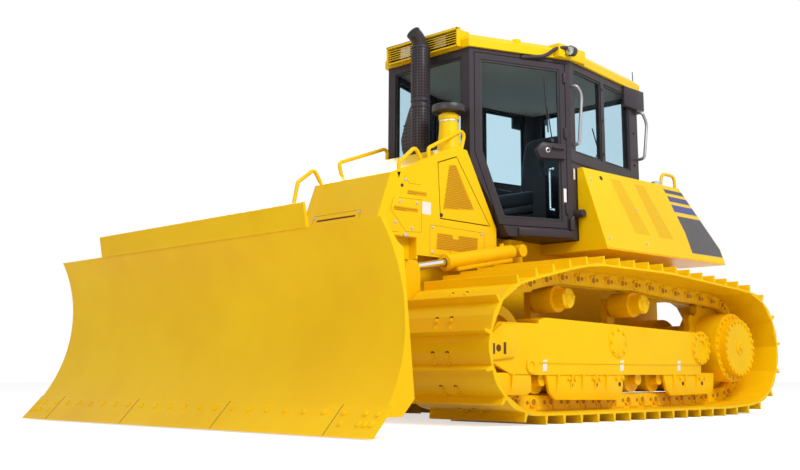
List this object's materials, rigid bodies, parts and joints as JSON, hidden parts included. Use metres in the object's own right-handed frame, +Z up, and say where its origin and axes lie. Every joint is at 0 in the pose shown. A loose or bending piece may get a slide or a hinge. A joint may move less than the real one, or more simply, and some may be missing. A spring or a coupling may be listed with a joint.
{
  "type": "crawler dozer",
  "caption": "Low-ground-pressure crawler dozer with a power-angle-tilt blade on a push frame, a six-sided cab, a sloping hood and wide single-grouser tracks.",
  "frame": {"origin": "on the ground under the middle of the bounding box", "axes": "+X forward to the blade, +Y to the operator's left, +Z up"},
  "size_m": [5.48, 3.86, 3.1268],
  "materials": {
    "yellow_paint": "gloss",
    "black_paint": "satin",
    "tinted_glass": "clear",
    "chrome_rod": "polished",
    "seat_fabric": "matte",
    "engine_iron": "rough",
    "lamp_plastic": "clear lens"
  },
  "bodies": {
    "chassis": {"main_frame": "yellow_paint", "track_frames": "yellow_paint", "track_left": "yellow_paint", "track_right": "yellow_paint", "idlers": "yellow_paint", "sprockets": "yellow_paint", "final_drives": "yellow_paint", "track_rollers": "yellow_paint", "carrier_rollers": "yellow_paint", "roller_guards": "yellow_paint", "suspension_bars": "yellow_paint", "engine_cowl": "yellow_paint", "hood_nose": "yellow_paint", "engine_block": "engine_iron", "exhaust_stack": "black_paint", "air_precleaner": "yellow_paint", "handrails": "yellow_paint", "cab_shell": "black_paint", "cab_roof": "yellow_paint", "cab_glass": "tinted_glass", "operator_seat": "seat_fabric", "console": "black_paint", "roof_lamps": "lamp_plastic", "side_bodies": "yellow_paint", "rear_housing": "yellow_paint", "drawbar": "yellow_paint"},
    "push_frame": {"c_frame": "yellow_paint", "angle_barrel_left": "yellow_paint", "angle_barrel_right": "yellow_paint"},
    "swivel": {"blade_swivel": "yellow_paint"},
    "blade": {"blade": "yellow_paint", "cutting_edge": "yellow_paint"},
    "cab_door_left": {"cab_door_left": "black_paint", "door_glass_left": "tinted_glass"},
    "cab_door_right": {"cab_door_right": "black_paint", "door_glass_right": "tinted_glass"},
    "engine_door_left": {"engine_door_left": "yellow_paint"},
    "engine_door_right": {"engine_door_right": "yellow_paint"},
    "rear_door": {"rear_grille_door": "yellow_paint"},
    "lift_barrel_left": {"lift_barrel_left": "yellow_paint"},
    "lift_rod_left": {"lift_rod_left": "chrome_rod"},
    "angle_rod_left": {"angle_rod_left": "chrome_rod"},
    "lift_barrel_right": {"lift_barrel_right": "yellow_paint"},
    "lift_rod_right": {"lift_rod_right": "chrome_rod"},
    "angle_rod_right": {"angle_rod_right": "chrome_rod"},
    "tilt_barrel": {"tilt_barrel": "yellow_paint"},
    "tilt_rod": {"tilt_rod": "chrome_rod"}
  },
  "joints": [
    {"name": "blade_lift", "type": "hinge", "parent": "chassis", "child": "push_frame", "pos_m": [-0.42, 0, 0.52], "axis": [0, -1, 0], "range_deg": [-8, 18]},
    {"name": "blade_angle", "type": "hinge", "parent": "push_frame", "child": "swivel", "pos_m": [2.11, 0, 0.52], "axis": [0, 0, 1], "range_deg": [-25, 25]},
    {"name": "blade_tilt", "type": "hinge", "parent": "swivel", "child": "blade", "pos_m": [2.29, 0, 0.52], "axis": [1, 0, 0], "range_deg": [-7, 7]},
    {"name": "cab_door_left_hinge", "type": "hinge", "parent": "chassis", "child": "cab_door_left", "pos_m": [-0.452, 0.797, 2.2], "axis": [0, 0, 1], "range_deg": [0, 110]},
    {"name": "cab_door_right_hinge", "type": "hinge", "parent": "chassis", "child": "cab_door_right", "pos_m": [-0.452, -0.797, 2.2], "axis": [0, 0, -1], "range_deg": [0, 110]},
    {"name": "engine_door_left_hinge", "type": "hinge", "parent": "chassis", "child": "engine_door_left", "pos_m": [0.378, 0.505, 1.72], "axis": [0.6015, 0, 0.7989], "range_deg": [0, 95]},
    {"name": "engine_door_right_hinge", "type": "hinge", "parent": "chassis", "child": "engine_door_right", "pos_m": [0.378, -0.505, 1.72], "axis": [-0.6015, 0, -0.7989], "range_deg": [0, 95]},
    {"name": "rear_door_hinge", "type": "hinge", "parent": "chassis", "child": "rear_door", "pos_m": [-2.352, 0.535, 1.28], "axis": [0, 0, -1], "range_deg": [0, 95]},
    {"name": "lift_barrel_left_pivot", "type": "hinge", "parent": "chassis", "child": "lift_barrel_left", "pos_m": [-0.065, 0.573, 1.29], "axis": [0, -1, 0], "range_deg": [-10.5, 23.3]},
    {"name": "lift_rod_left_slide", "type": "slide", "parent": "lift_barrel_left", "child": "lift_rod_left", "axis": [0.9839, 0, -0.1789], "range_m": [-0.25, 0.112]},
    {"name": "angle_rod_left_slide", "type": "slide", "parent": "push_frame", "child": "angle_rod_left", "axis": [0.9853, -0.1711, 0], "range_m": [-0.186, 0.186]},
    {"name": "lift_barrel_right_pivot", "type": "hinge", "parent": "chassis", "child": "lift_barrel_right", "pos_m": [-0.065, -0.573, 1.29], "axis": [0, -1, 0], "range_deg": [-10.5, 23.3]},
    {"name": "lift_rod_right_slide", "type": "slide", "parent": "lift_barrel_right", "child": "lift_rod_right", "axis": [0.9839, 0, -0.1789], "range_m": [-0.25, 0.112]},
    {"name": "angle_rod_right_slide", "type": "slide", "parent": "push_frame", "child": "angle_rod_right", "axis": [0.9853, 0.1711, 0], "range_m": [-0.186, 0.186]},
    {"name": "tilt_barrel_pivot", "type": "hinge", "parent": "swivel", "child": "tilt_barrel", "pos_m": [2.225, -0.03, 0.83], "axis": [1, 0, 0], "range_deg": [-6.8, 6.8]},
    {"name": "tilt_rod_slide", "type": "slide", "parent": "tilt_barrel", "child": "tilt_rod", "axis": [0, 1, 0], "range_m": [-0.039, 0.039]}
  ],
  "couplings": [
    {"joint": "lift_barrel_left_pivot", "follows": "blade_lift", "ratio": 1.28},
    {"joint": "lift_rod_left_slide", "follows": "blade_lift", "m_per_rad": -0.775},
    {"joint": "angle_rod_left_slide", "follows": "blade_angle", "m_per_rad": -0.418},
    {"joint": "lift_barrel_right_pivot", "follows": "blade_lift", "ratio": 1.28},
    {"joint": "lift_rod_right_slide", "follows": "blade_lift", "m_per_rad": -0.775},
    {"joint": "angle_rod_right_slide", "follows": "blade_angle", "m_per_rad": 0.418},
    {"joint": "tilt_barrel_pivot", "follows": "blade_tilt", "ratio": 0.957},
    {"joint": "tilt_rod_slide", "follows": "blade_tilt", "m_per_rad": -0.31}
  ]
}
